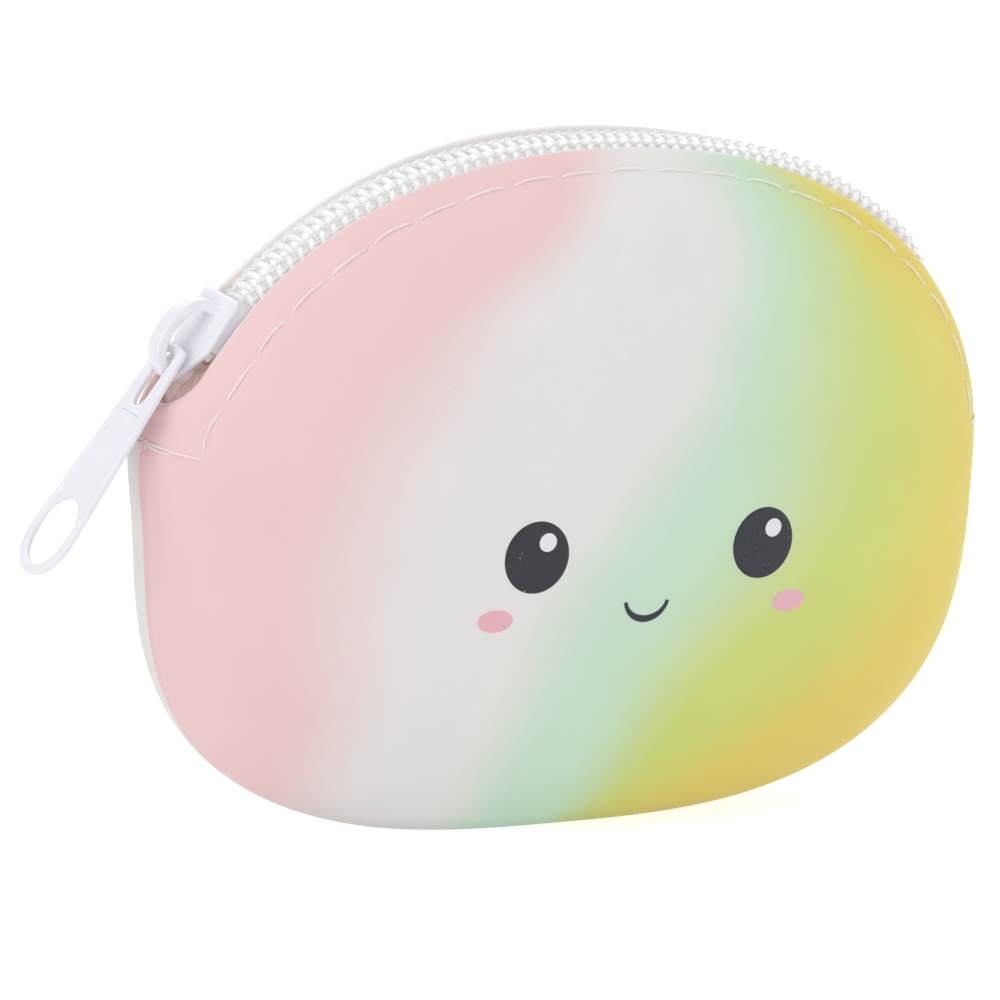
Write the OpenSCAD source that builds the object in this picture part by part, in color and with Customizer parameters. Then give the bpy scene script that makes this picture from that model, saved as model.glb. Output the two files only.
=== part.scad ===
// Soft moulded coin purse with an arched nylon coil zip and a long pull tab.
// Millimetres. +Z is up, the front face looks towards -Y, and Z = 0 is the flat it stands on.
// Places along the zip are given as s, the arc length from the top of the outline, and as
// h, the height above the outline.

/* [Pouch] */
// Width of the pouch, without its soft bulges
pouch_w = 105; // [98:1:112]
// Height of the outline above its widest line
upper_h = 39.1; // [37:0.1:42]
// Depth of the outline below its widest line
lower_h = 41.5; // [39:0.5:44]
// Thickness of the filled-out pouch, front to back
pouch_t = 34; // [31:1:38]
// Roundness of the outline above the widest line, where 2 is an ellipse
upper_n = 2.14; // [2.05:0.01:2.25]
// Squareness of the outline below the widest line
lower_n = 2.94; // [2.6:0.02:3.2]
// Fullness of the face towards the outline
edge_n = 2.8; // [2.5:0.05:3.1]
// Fullness of the edge towards the face
depth_n = 2.35; // [2.2:0.05:2.5]
// Bulge of the soft wall under the slot's left end
left_bulge = 1.8; // [1.2:0.1:2]
// Bulge of the soft wall at the lower right
right_bulge = 0.8; // [0:0.1:1.2]
// Silicone wall
wall = 1.5; // [1.2:0.1:1.8]
// How much is flattened where it stands
foot_cut = 0.5; // [0.4:0.1:0.8]

/* [Slot] */
// Width of the slot for the zip
slot_w = 9; // [8.8:0.1:10]
// Length of the slot, measured round the outline
slot_len = 127; // [124:0.5:128]
// Length of the rounding at each end of the slot
slot_round = 4.5; // [4:0.1:5]

/* [Zip] */
// Distance between neighbouring loops of one coil
coil_pitch = 1.6; // [1.5:0.05:1.8]
// Diameter of the coil's wire
wire_d = 0.62; // [0.55:0.01:0.65]
// Width of one loop, between the middles of the wire
loop_w = 3.2; // [3:0.1:3.3]
// Height of one loop, between the middles of the wire
loop_h = 1.7; // [1.6:0.05:1.9]
// How far a loop's head reaches past the middle of the zip
hook = 0.4; // [0.3:0.05:0.5]
// Diameter of the filler cord inside a coil
cord_d = 0.9; // [0.8:0.05:1]
// Diameter of the thread that sews a coil down
sewing_d = 0.28; // [0.2:0.02:0.32]
// Thickness of the woven tape
tape_t = 0.45; // [0.35:0.05:0.5]
// How far the tape reaches from the middle of the zip
tape_w = 10.5; // [9.5:0.5:11.5]
// Depth of the tape's face below the outline
tape_depth = 3.4; // [3.2:0.05:3.6]

/* [Slider] */
// Where the slider's middle lies on the closed zip
slider_s = -55.2; // [-55.6:0.1:-54]
// Angle by which the slider's nose dips towards the pouch
slider_lean = 2.9; // [1.5:0.1:3.5]
// Length of the slider
slider_len = 11.4; // [11:0.1:11.8]
// Width of the slider
slider_w = 8; // [7.9:0.05:8.1]
// Thickness of the slider's plates
plate_t = 0.8; // [0.7:0.05:1]
// Thickness of the flanges beside the coils
flange_t = 0.75; // [0.6:0.05:0.8]
// Width of the arched bridge
bridge_w = 2; // [1.8:0.1:2.4]
// Height of the bridge above the plate
bridge_h = 4.1; // [3.8:0.1:4.4]
// Thickness of the bridge
bridge_t = 1.1; // [0.9:0.05:1.2]

/* [Pull tab] */
// Length of the tab from its pivot
tab_len = 29.2; // [26:0.2:32]
// Width of the tab
tab_w = 9.6; // [9:0.1:10.2]
// Thickness of the tab
tab_t = 0.8; // [0.7:0.05:1]
// Width of the rim round the recessed panel and the end hole
tab_rim = 1.3; // [1.1:0.1:1.5]
// Depth of the recessed panel on each face
panel_depth = 0.18; // [0.1:0.02:0.22]
// Length of the hole that the bridge runs through
ring_len = 7.4; // [7:0.1:8]
// Length of the end hole
end_hole_len = 8.1; // [7:0.1:9]

/* [Stitching] */
// Distance from the slot's edge to the stitches
stitch_margin = 3.4; // [3:0.1:3.7]
// Distance from the slot's end to the bar of stitches
end_margin = 4; // [3.6:0.1:4.4]
// Number of stitches along each lip
stitch_count = 21; // [17:1:25]
// Length of one stitch that shows
stitch_len = 4.6; // [3.6:0.1:4.8]
// Diameter of the thread
thread_d = 0.4; // [0.3:0.05:0.5]

/* [Hidden] */
$fn = 48;

pink = "#f2cdd0";
clear_thread = "#f4f2ee";
zip_white = "#f5f5f5";
painted_white = "#ececf2";

front = -1;
rear = 1;
soft_gap = 0.1;         // between soft pieces that lie on each other
run_gap = 0.2;          // between the slider and what it runs on
mid_z = lower_h - foot_cut;
half_t = pouch_t / 2;
slot_half = slot_len / 2;
stitch_y = slot_w / 2 + stitch_margin;
bar_s = slot_half + end_margin;
tape_half = bar_s + 1;

// The pouch's skins.
// reach is the distance from the middle to the outline at the polar angle phi, on a skin that
// lies inset inside the outer one.
left_bulge_phi = -83.5;
left_bulge_spread = 10;
right_bulge_phi = 111;
right_bulge_spread = 17;
function bell(a, middle, spread) = exp(-pow((a - middle) / spread, 2));
function bulge(phi) =
    let (a = phi > 180 ? phi - 360 : phi)
    left_bulge * bell(a, left_bulge_phi, left_bulge_spread)
    + right_bulge * bell(a, right_bulge_phi, right_bulge_spread);
function reach(phi, inset) =
    let (above = cos(phi) >= 0,
         a = pouch_w / 2 - inset,
         b = (above ? upper_h : lower_h) - inset,
         n = above ? upper_n : lower_n)
    pow(pow(abs(sin(phi)) / a, n) + pow(abs(cos(phi)) / b, n), -1 / n) + bulge(phi);
// The share of that reach that is left at the depth y.
function share(y, inset) =
    pow(1 - pow(min(1, abs(y) / (half_t - inset)), depth_n), 1 / edge_n);
function skin_reach(phi, y, inset) = reach(phi, inset) * share(y, inset);
function at(phi, r, y) = [r * sin(phi), y, mid_z + r * cos(phi)];
function skin(phi, y, inset) = at(phi, skin_reach(phi, y, inset), y);
function unit(v) = v / norm(v);
function skin_normal(phi, y) =
    unit(cross(skin(phi + 0.2, y, 0) - skin(phi - 0.2, y, 0),
               skin(phi, y + 0.05, 0) - skin(phi, y - 0.05, 0)));

// The outline as a path.
path_step = 0.5;        // degrees
path_end = 100;
function edge_at(phi) = at(phi, reach(phi, 0), 0);
function half_path(side) =
    [for (a = 0, s = 0; a <= path_end;
          s = s + norm(edge_at(side * (a + path_step)) - edge_at(side * a)), a = a + path_step)
        [s, side * a]];
left_path = half_path(-1);
right_path = half_path(1);
function phi_at(s) = s < 0 ? lookup(-s, left_path) : lookup(s, right_path);
function tangent(s) = unit(edge_at(phi_at(s + 0.1)) - edge_at(phi_at(s - 0.1)));
function normal(s) = let (t = tangent(s)) [-t[2], 0, t[0]];
function heading(s) = let (n = normal(s)) atan2(n[0], n[2]);
function zip_at(s, y, h) = edge_at(phi_at(s)) + h * normal(s) + [0, y, 0];

module on_path(s) {
    translate(edge_at(phi_at(s))) rotate([0, heading(s), 0]) children();
}

// The pouch shell: an outer and an inner skin, joined round the slot.
main_step = 5;
end_turn = 15;
foot_turn = 5;
outer_rows = 9;
inner_rows = 5;
function slot_y(s) =
    let (e = abs(s) - (slot_half - slot_round))
    e <= 0 ? slot_w / 2 : e >= slot_round ? 0 : slot_w / 2 * sqrt(1 - pow(e / slot_round, 2));
slot_straight = slot_half - slot_round;
main_steps = ceil(2 * slot_straight / main_step);
end_ss = [for (b = [90:-end_turn:1]) slot_straight + slot_round * sin(b)];
slot_ss = concat([for (s = end_ss) -s],
                 [for (i = [0:main_steps]) -slot_straight + 2 * slot_straight * i / main_steps],
                 [for (i = [len(end_ss) - 1:-1:0]) end_ss[i]]);
foot_from = phi_at(slot_half);
foot_to = phi_at(-slot_half) + 360;
foot_steps = ceil((foot_to - foot_from) / foot_turn);
stations = concat([for (s = slot_ss) [phi_at(s), slot_y(s)]],
                  [for (i = [1:foot_steps - 1])
                      [foot_from + (foot_to - foot_from) * i / foot_steps, 0]]);

// One skin of one side, as rows of points from the lip to the middle of the face.
function face_point(phi, turn, inset, side) =
    let (p = at(phi, reach(phi, inset) * pow(cos(turn), 2 / edge_n),
                side * (half_t - inset) * pow(sin(turn), 2 / depth_n)))
    [p[0], p[1], max(p[2], 0)];
function lip_turn(y, inset) = asin(pow(y / (half_t - inset), depth_n / 2));
function half_skin(inset, side, rows) =
    concat([for (row = [0:rows - 1]) for (st = stations)
               let (from = lip_turn(st[1], inset))
               face_point(st[0], from + (90 - from) * row / rows, inset, side)],
           [[0, side * (half_t - inset), mid_z]]);

module pouch_shell() {
    n = len(stations);
    outer_count = outer_rows * n + 1;
    inner_count = inner_rows * n + 1;
    points = concat(half_skin(0, front, outer_rows), half_skin(0, rear, outer_rows),
                    half_skin(wall, front, inner_rows), half_skin(wall, rear, inner_rows));
    starts = [0, outer_count, 2 * outer_count, 2 * outer_count + inner_count];
    rows_of = [outer_rows, outer_rows, inner_rows, inner_rows];
    // Outside the slot the front and the rear share the points on the parting line.
    function id(part, row, i) =
        let (k = i % n, open = stations[k][1] > 0,
             own = part % 2 == 1 && row == 0 && !open ? part - 1 : part)
        starts[own] + row * n + k;
    function middle(part) = starts[part] + rows_of[part] * n;
    function turn_over(f, over) = over ? [f[0], f[2], f[1]] : f;
    skins = [for (part = [0:3]) let (over = part == 0 || part == 3)
        for (f = concat(
            [for (row = [0:rows_of[part] - 2]) for (i = [0:n - 1]) for (half = [0, 1])
                half == 0 ? [id(part, row, i), id(part, row + 1, i), id(part, row, i + 1)]
                          : [id(part, row, i + 1), id(part, row + 1, i), id(part, row + 1, i + 1)]],
            [for (i = [0:n - 1])
                [id(part, rows_of[part] - 1, i), middle(part), id(part, rows_of[part] - 1, i + 1)]]))
        turn_over(f, over)];
    lips = [for (i = [0:len(slot_ss) - 2]) for (side = [0, 1]) for (half = [0, 1])
        let (a = id(side, 0, i), b = id(side, 0, i + 1),
             c = id(side + 2, 0, i), d = id(side + 2, 0, i + 1))
        turn_over(half == 0 ? [a, b, c] : [b, d, c], side == 0)];
    whole = [for (f = concat(skins, lips))
        if (f[0] != f[1] && f[1] != f[2] && f[2] != f[0]) f];
    color(pink) polyhedron(points, whole, convexity = 6);
}

// A tube through points, with one reference direction for each.
module tube(path, refs, r, sides) {
    last = len(path) - 1;
    points = [for (i = [0:last])
        let (t = unit(path[min(i + 1, last)] - path[max(i - 1, 0)]),
             e = unit(refs[i] - t * (refs[i] * t)), f = cross(t, e))
        for (j = [0:sides - 1]) path[i] + r * (cos(360 * j / sides) * e + sin(360 * j / sides) * f)];
    walls = [for (i = [0:last - 1]) for (j = [0:sides - 1])
        let (a = i * sides + j, b = i * sides + (j + 1) % sides)
        for (f = [[a, a + sides, b], [b, a + sides, b + sides]]) f];
    caps = [for (j = [1:sides - 2])
        for (f = [[0, j, j + 1], [last * sides, last * sides + j + 1, last * sides + j]]) f];
    polyhedron(points, concat(walls, caps), convexity = 10);
}

// The zip.
// Each coil is one wire wound round a filler cord. Its loops lie square to the zip and step
// along at their outer side, and the two coils mesh half a pitch apart.
wire_r = wire_d / 2;
loop_h_mid = -tape_depth + soft_gap + wire_r + loop_h / 2;
loop_y = loop_w / 2 - hook;
chain_top = loop_h_mid + loop_h / 2 + wire_r;
chain_half_w = loop_y + loop_w / 2 + wire_r;
post_lead = 1.3;        // the coils end this far before the slider's post
coil_from = slider_s - post_lead;
coil_to = slot_half - slot_round + 1.5;
loops = floor((coil_to - coil_from) / coil_pitch);
loop_rings = 6;
wire_sides = 4;
function coil_point(turn, shift) =
    let (a = 360 * turn + 30,
         whole_a = turn + sin(a) / 360 * 180 / PI,
         s = coil_from + shift + coil_pitch * whole_a)
    zip_at(s, loop_y + loop_w / 2 * cos(a), loop_h_mid + loop_h / 2 * sin(a));

module zip_coil(side) {
    shift = side == front ? 0 : coil_pitch / 2;
    path = [for (i = [0:loops * loop_rings]) coil_point(i / loop_rings, shift)];
    along = [for (i = [0:loops * loop_rings])
        tangent(coil_from + shift + coil_pitch * i / loop_rings)];
    color(zip_white) mirror([0, side == front ? 1 : 0, 0]) tube(path, along, wire_r, wire_sides);
}

run_step = 2.5;
run_steps = ceil((coil_to - coil_from) / run_step);
function run_s(i) = coil_from + (coil_to - coil_from) * i / run_steps;

module coil_cord(side) {
    cord_y = side * (loop_y + 0.3);
    color(zip_white)
        tube([for (i = [0:run_steps]) zip_at(run_s(i), cord_y, loop_h_mid)],
             [for (i = [0:run_steps]) normal(run_s(i))], cord_d / 2, 6);
}

// The thread lies on the loops, just outside their highest line.
sewing_y = loop_y + 1.2;
loop_top_there = loop_h_mid + wire_r
    + loop_h / 2 * sqrt(1 - pow((sewing_y - loop_y) / (loop_w / 2), 2));
sewing_h = loop_top_there + soft_gap + sewing_d / 2;
module coil_sewing(side) {
    color(clear_thread)
        tube([for (i = [0:run_steps]) zip_at(run_s(i), side * sewing_y, sewing_h)],
             [for (i = [0:run_steps]) normal(run_s(i))], sewing_d / 2, 6);
}

// The tape lies flat under the coil and then follows the inside of the wall.
tape_edge = 0.5;        // from the middle to the tape's inner edge
lining_gap = 0.75;      // between the tape and the inside of the wall
post_w = 1.5;
tape_step = 3;
tape_steps = ceil(2 * tape_half / tape_step);
function opened(s) = let (e = min(1, max(0, (coil_from - s + 1) / 2))) e * e * (3 - 2 * e);
function tape_ys(s) =
    let (inner = tape_edge + (post_w / 2 + run_gap - tape_edge) * opened(s))
    [for (k = [0:7]) inner + (tape_w - inner) * k / 7];
function tape_top(phi, y) =
    min(reach(phi, 0) - tape_depth, skin_reach(phi, y, wall) - lining_gap);
function tape_section(s, side) =
    let (phi = phi_at(s), ys = tape_ys(s))
    concat([for (y = ys) at(phi, tape_top(phi, y), side * y)],
           [for (i = [len(ys) - 1:-1:0]) at(phi, tape_top(phi, ys[i]) - tape_t, side * ys[i])]);
slit_ss = [for (e = [0:4]) coil_from + 1 - e * 0.5];
tape_ss = concat([for (i = [0:2]) -tape_half + (tape_half + coil_from - 1) * i / 3],
                 [for (i = [4:-1:0]) slit_ss[i]],
                 [for (i = [1:tape_steps]) coil_from + 1 + (tape_half - coil_from - 1) * i / tape_steps]);

module zip_tape(side) {
    sections = [for (s = tape_ss) tape_section(s, side)];
    k = len(sections[0]);
    last = len(sections) - 1;
    function flip(f) = side == rear ? f : [f[0], f[2], f[1]];
    walls = [for (i = [0:last - 1]) for (j = [0:k - 1])
        let (a = i * k + j, b = i * k + (j + 1) % k)
        for (f = [[a, b, a + k], [b, b + k, a + k]]) flip(f)];
    function cap(at, over) = [for (j = [0:k / 2 - 2])
        let (a = at + j, b = at + j + 1, c = at + k - 1 - j, d = at + k - 2 - j)
        for (f = [[a, c, b], [b, c, d]]) over ? [f[0], f[2], f[1]] : f];
    caps = [for (f = concat(cap(0, false), cap(last * k, true))) flip(f)];
    color(zip_white)
        polyhedron([for (sec = sections) for (p = sec) p], concat(walls, caps), convexity = 8);
}

// The slider, in its own frame: X runs from its square tail to its nose, Z away from the pouch.
plate_low = max(chain_top, sewing_h + sewing_d / 2) + run_gap;
plate_top = plate_low + plate_t;
slider_sag = 0.3;       // how far the curved zip falls away under the slider's ends
base_top = -tape_depth - tape_t - run_gap - slider_sag - slider_len / 2 * sin(slider_lean);
flange_low = -tape_depth + 1;
nose_r = 1.2;
tail_r = 0.5;
shoulder_r = 2.2;
shoulder_x = slider_len * 0.02;
flange_len = slider_len * 0.56;

module on_slider() {
    on_path(slider_s) rotate([0, 0, 180]) rotate([0, slider_lean, 0]) children();
}

module slider_outline() {
    half_l = slider_len / 2;
    hull() {
        for (side = [-1, 1]) {
            translate([tail_r - half_l, side * (slider_w / 2 - tail_r)]) circle(tail_r);
            translate([shoulder_x, side * (slider_w / 2 - shoulder_r)]) circle(shoulder_r);
        }
        translate([half_l - nose_r, 0]) circle(nose_r);
    }
}

// One side of the bridge, a rounded arch of the given half length and height.
bridge_x = 0.65;
bridge_half = 4.95;
module arch(half, height) {
    points = [for (a = [0:7.5:180])
        [half * sign(cos(a)) * pow(abs(cos(a)), 2 / 2.4), height * pow(sin(a), 2 / 2.4)]];
    translate([bridge_x, 0]) polygon(points);
}

module slider_body() {
    color(painted_white) on_slider() {
        union() {
            translate([0, 0, plate_low]) linear_extrude(plate_t) slider_outline();
            translate([0, 0, base_top - plate_t]) linear_extrude(plate_t) slider_outline();
            // flanges beside the coils
            translate([0, 0, flange_low]) linear_extrude(plate_low - flange_low + plate_t / 2)
                intersection() {
                    difference() {
                        slider_outline();
                        square([2 * slider_len, slider_w - 2 * flange_t], center = true);
                    }
                    translate([-slider_len / 2, -slider_w]) square([flange_len, 2 * slider_w]);
                }
            // the post that parts the coils
            translate([post_lead + 2.3, 0, base_top - plate_t / 2])
                linear_extrude(plate_low - base_top + plate_t)
                    hull() {
                        for (x = [-1.3, 1]) translate([x, 0]) circle(0.4);
                        circle(post_w / 2);
                    }
            // the bridge that carries the pull tab
            translate([0, bridge_w / 2, plate_top]) rotate([90, 0, 0]) linear_extrude(bridge_w)
                difference() {
                    union() {
                        arch(bridge_half, bridge_h);
                        translate([bridge_x - bridge_half, -plate_t / 2])
                            square([2 * bridge_half, plate_t / 2]);
                    }
                    arch(bridge_half - bridge_t, bridge_h - bridge_t);
                }
        }
    }
}

// The pull tab, in its own frame: the pivot is at the origin and X runs to the far end.
pivot_x = 2.3;
pivot_r = 0.55;
pivot_h = plate_top + 1.15;
tab_lift = 0.75;        // angle between the tab at rest and the slider's plates
ring_half = bridge_w / 2 + 0.45;
ring_wall = 1.35;

module tab_outline() {
    hull() {
        for (side = [-1, 1]) {
            translate([0.6, side * (ring_half + ring_wall - 1)]) circle(1);
        }
        translate([tab_len - tab_w / 2, 0]) circle(tab_w / 2);
    }
}

module ring_hole() {
    hull() {
        translate([pivot_r, -ring_half]) square([1, 2 * ring_half]);
        translate([ring_len - 1.2, 0]) circle(1.2);
    }
}

module end_hole() {
    r = tab_w / 2 - tab_rim;
    hull()
        for (x = [end_hole_len - r, r]) translate([tab_len - tab_rim - x, 0]) circle(r);
}

module panel() {
    from = ring_len + 1;
    to = tab_len - tab_rim - end_hole_len / 2;
    wide = tab_w / 2 - tab_rim + 0.3;
    narrow = wide - 1.1;
    hull()
        for (side = [-1, 1]) {
            translate([from + 1, side * (narrow - 1)]) circle(1);
            translate([to, side * (wide - 1)]) circle(1);
        }
}

module pull_tab() {
    color(painted_white) on_slider() translate([pivot_x, 0, pivot_h]) rotate([0, -tab_lift, 0]) {
        difference() {
            union() {
                translate([0, 0, -tab_t / 2]) linear_extrude(tab_t)
                    difference() {
                        intersection() {
                            tab_outline();
                            translate([0, -tab_w]) square([tab_len, 2 * tab_w]);
                        }
                        ring_hole();
                        end_hole();
                    }
                rotate([90, 0, 0])
                    cylinder(r = pivot_r, h = 2 * (ring_half + ring_wall) - 0.8, center = true);
            }
            for (side = [-1, 1])
                translate([0, 0, side * tab_t / 2 - panel_depth]) linear_extrude(2 * panel_depth)
                    difference() {
                        panel();
                        end_hole();
                    }
        }
    }
}

// Stitches lie on the skin, each a straight strand with round ends.
module strand(p, q, r) {
    d = q - p;
    translate(p) rotate([0, acos(d[2] / norm(d)), atan2(d[1], d[0])]) {
        cylinder(r = r, h = norm(d), $fn = 16);
        sphere(r, $fn = 16);
        translate([0, 0, norm(d)]) sphere(r, $fn = 16);
    }
}
sag = 0.12;             // how far the skin bulges between a stitch's ends
thread_h = thread_d / 2 + soft_gap + sag;
function on_skin(s, y) =
    let (phi = phi_at(s), n = skin_normal(phi, y), p = skin(phi, y, 0))
    p + thread_h * (n * (p - [0, 0, mid_z]) > 0 ? n : -n);

module stitch_row(side) {
    pitch = 2 * bar_s / stitch_count;
    shown = min(stitch_len, pitch - 3 * thread_d) - thread_d;
    color(clear_thread)
        for (i = [0:stitch_count - 1]) {
            from = -bar_s + pitch * (i + 0.5) - shown / 2;
            to = from + shown;
            strand(on_skin(from, side * stitch_y), on_skin(to, side * stitch_y), thread_d / 2);
        }
}

bar_stitches = 3;
module end_stitch(side) {
    pitch = 2 * stitch_y / bar_stitches;
    shown = pitch - 3 * thread_d;
    color(clear_thread)
        for (i = [0:bar_stitches - 1]) {
            y = -stitch_y + pitch * (i + 0.5);
            strand(on_skin(side * (bar_s + thread_d), y - shown / 2),
                   on_skin(side * (bar_s + thread_d), y + shown / 2), thread_d / 2);
        }
}

pouch_shell();
zip_tape(front);  // zip_tape_front
zip_tape(rear);  // zip_tape_rear
zip_coil(front);  // zip_coil_front
zip_coil(rear);  // zip_coil_rear
coil_cord(front);  // coil_cord_front
coil_cord(rear);  // coil_cord_rear
coil_sewing(front);  // coil_sewing_front
coil_sewing(rear);  // coil_sewing_rear
slider_body();
pull_tab();
stitch_row(front);  // stitch_front
stitch_row(rear);  // stitch_rear
end_stitch(-1);  // end_stitch_left
end_stitch(1);  // end_stitch_right
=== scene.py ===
"""Looks of a soft silicone zip coin purse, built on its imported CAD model.

Places along the zip are given as s, the arc length in millimetres from the top of the
outline (negative to the left), y (negative to the front) and h, the height above the outline.
"""

import math

import bmesh
import bpy
import numpy as np
from mathutils import Matrix, Vector

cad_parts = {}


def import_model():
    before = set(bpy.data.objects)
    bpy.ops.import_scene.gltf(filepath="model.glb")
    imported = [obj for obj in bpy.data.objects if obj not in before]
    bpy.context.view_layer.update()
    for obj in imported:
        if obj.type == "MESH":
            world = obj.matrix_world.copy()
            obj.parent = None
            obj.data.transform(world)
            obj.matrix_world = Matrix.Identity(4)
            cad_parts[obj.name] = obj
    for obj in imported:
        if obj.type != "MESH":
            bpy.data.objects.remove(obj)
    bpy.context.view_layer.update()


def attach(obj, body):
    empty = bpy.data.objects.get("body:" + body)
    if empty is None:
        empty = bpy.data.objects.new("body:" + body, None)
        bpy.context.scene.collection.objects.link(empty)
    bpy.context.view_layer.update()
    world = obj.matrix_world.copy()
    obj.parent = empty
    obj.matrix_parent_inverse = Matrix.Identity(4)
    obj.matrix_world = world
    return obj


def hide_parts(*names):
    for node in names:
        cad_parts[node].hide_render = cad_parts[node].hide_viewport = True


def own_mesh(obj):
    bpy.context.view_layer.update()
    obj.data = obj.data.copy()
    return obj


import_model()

MM = 0.001

# ---------------------------------------------------------------- sizes, in millimetres
POUCH_W = 105.0
UPPER_H = 39.1
LOWER_H = 41.5
MID_Z = 41.0
HALF_T = 17.0
UPPER_N = 2.14
LOWER_N = 2.94
EDGE_N = 2.8
DEPTH_N = 2.35
WALL = 1.5
SLOT_HALF = 63.5
SLOT_HALF_W = 4.5
SLOT_ROUND = 4.5
COIL_PITCH = 1.6
LOOP_W = 3.2
LOOP_H = 1.7
WIRE_R = 0.36
HOOK = 0.4
TAPE_DEPTH = 3.4
TAPE_T = 0.45
TAPE_W = 10.5
SLIDER_S = -55.2
SLIDER_LEN = 11.4
SLIDER_W = 8.0
SLIDER_LEAN = 2.9
PLATE_LOW = -0.688
PLATE_T = 0.8
BASE_TOP = -4.638
TAB_LEN = 29.2
TAB_W = 9.6
TAB_T = 0.8
TAB_RIM = 1.3
RING_LEN = 7.4
END_HOLE_LEN = 8.1
STITCH_Y = 7.9
BAR_S = 67.5
STITCHES = 21
STITCH_LEN = 5.15
THREAD_R = 0.17


# ---------------------------------------------------------------- the pouch's outline
def bell(a, middle, spread):
    """1 at the middle, falling off to both sides."""
    return np.exp(-(((a - middle) / spread) ** 2))


def smooth(a, low, high):
    """0 below low, 1 above high, and a smooth step between them."""
    t = np.clip((np.asarray(a, float) - low) / (high - low), 0, 1)
    return t * t * (3 - 2 * t)


def unit(v):
    """The vectors along the last axis, brought to length 1."""
    return v / np.linalg.norm(v, axis=-1)[..., None]


def wrap(angle):
    """The same angle between -180 and 180 degrees."""
    return (angle + 180) % 360 - 180


def from_middle(r, y, phi):
    """Points at the distance r from the pouch's middle, at the angle phi from +Z and the depth y."""
    return np.stack([r * np.sin(np.radians(phi)), y, MID_Z + r * np.cos(np.radians(phi))], -1)


def reach(phi, inset=0.0):
    """Distance from the pouch's middle to its outline at the angle phi, in degrees from +Z."""
    phi = wrap(np.asarray(phi, float))
    p = np.radians(phi)
    above = np.cos(p) >= 0
    a = POUCH_W / 2 - inset
    b = np.where(above, UPPER_H, LOWER_H) - inset
    n = np.where(above, UPPER_N, LOWER_N)
    r = (abs(np.sin(p) / a) ** n + abs(np.cos(p) / b) ** n) ** (-1 / n)
    return r + 1.8 * bell(phi, -83.5, 10) + 0.8 * bell(phi, 111, 17)


PHI = np.arange(-110, 110.01, 0.05)
EDGE = from_middle(reach(PHI), 0 * PHI, PHI)[:, ::2]
ARC = np.concatenate([[0], np.cumsum(np.linalg.norm(np.diff(EDGE, axis=0), axis=1))])
ARC -= ARC[len(PHI) // 2]
TANGENT = unit(np.gradient(EDGE, axis=0))


def phi_at(s):
    return np.interp(s, ARC, PHI)


def arc_at(phi):
    return np.interp(phi, PHI, ARC)


def along(s):
    """Unit tangent and unit outward normal of the outline at s, as rows of x, y, z."""
    x, z = np.interp(s, ARC, TANGENT[:, 0]), np.interp(s, ARC, TANGENT[:, 1])
    t = unit(np.stack([x, 0 * x, z], -1))
    return t, np.stack([-t[..., 2], 0 * t[..., 0], t[..., 0]], -1)


def zip_at(s, y, h):
    """Point at s, y and h, for arrays or numbers."""
    s, y, h = np.broadcast_arrays(np.asarray(s, float), y, h)
    n = along(s)[1]
    p = np.stack([np.interp(s, ARC, EDGE[:, 0]), y, np.interp(s, ARC, EDGE[:, 1])], -1)
    return p + h[..., None] * n


def share(y, inset=0.0):
    """What is left of the reach at the depth y."""
    return np.maximum(1 - np.minimum(1, abs(y) / (HALF_T - inset)) ** DEPTH_N, 0) ** (1 / EDGE_N)


def skin_y(x, z):
    """Depth of the front face behind which the point x, z lies."""
    r = np.hypot(x, z - MID_Z)
    phi = np.degrees(np.arctan2(x, z - MID_Z))
    return -HALF_T * np.maximum(1 - (r / reach(phi)) ** EDGE_N, 0) ** (1 / DEPTH_N)


# ---------------------------------------------------------------- mesh helpers
def add_object(name, data):
    thing = bpy.data.objects.new(name, data)
    bpy.context.scene.collection.objects.link(thing)
    return thing


def around(steps):
    """Equal angles round a circle, in radians."""
    return np.radians(360 * np.arange(steps) / steps)


def make_mesh(name, points, faces, material=None, sharp=None):
    """A smooth-shaded mesh object from points in millimetres."""
    mesh = bpy.data.meshes.new(name)
    mesh.from_pydata([tuple(p) for p in np.asarray(points) * MM], [], faces)
    mesh.validate()
    mesh.update()
    mesh.shade_smooth()
    if sharp is not None:
        mesh.set_sharp_from_angle(angle=math.radians(sharp))
    if material:
        mesh.materials.append(material)
    return add_object(name, mesh)


def ring_faces(rows, k):
    """The faces between closed rows of k points."""
    return [(i * k + j, i * k + (j + 1) % k, (i + 1) * k + (j + 1) % k, (i + 1) * k + j)
            for i in range(rows - 1) for j in range(k)]


def tube_data(path, radius, sides=10, reference=(0, 1, 0), squeeze=1.0):
    """Points and faces of a closed round tube along a path. radius may vary along it."""
    path = np.asarray(path, float)
    radius = np.broadcast_to(np.asarray(radius, float), len(path))
    t = unit(np.gradient(path, axis=0))
    ref = np.broadcast_to(np.asarray(reference, float), path.shape)
    e = unit(ref - t * (ref * t).sum(1)[:, None])
    f = np.cross(t, e)
    a = around(sides)
    rings = path[:, None] + radius[:, None, None] * (
        np.cos(a)[None, :, None] * e[:, None] * squeeze + np.sin(a)[None, :, None] * f[:, None])
    points = np.concatenate([rings.reshape(-1, 3), path[:1] - t[:1] * radius[0] * 0.5,
                             path[-1:] + t[-1:] * radius[-1] * 0.5])
    n, k = len(path), sides
    faces = ring_faces(n, k)
    first, last = n * k, n * k + 1          # the points of the two rounded ends
    faces += [(first, (j + 1) % k, j) for j in range(k)]
    faces += [(last, (n - 1) * k + j, (n - 1) * k + (j + 1) % k) for j in range(k)]
    return points, faces


def tubes(name, parts, material):
    """One mesh of several tubes, each given as tube_data gives it."""
    points, faces, start = [], [], 0
    for p, f in parts:
        points.append(p)
        faces += [tuple(start + i for i in face) for face in f]
        start += len(p)
    return make_mesh(name, np.concatenate(points), faces, material)


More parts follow.
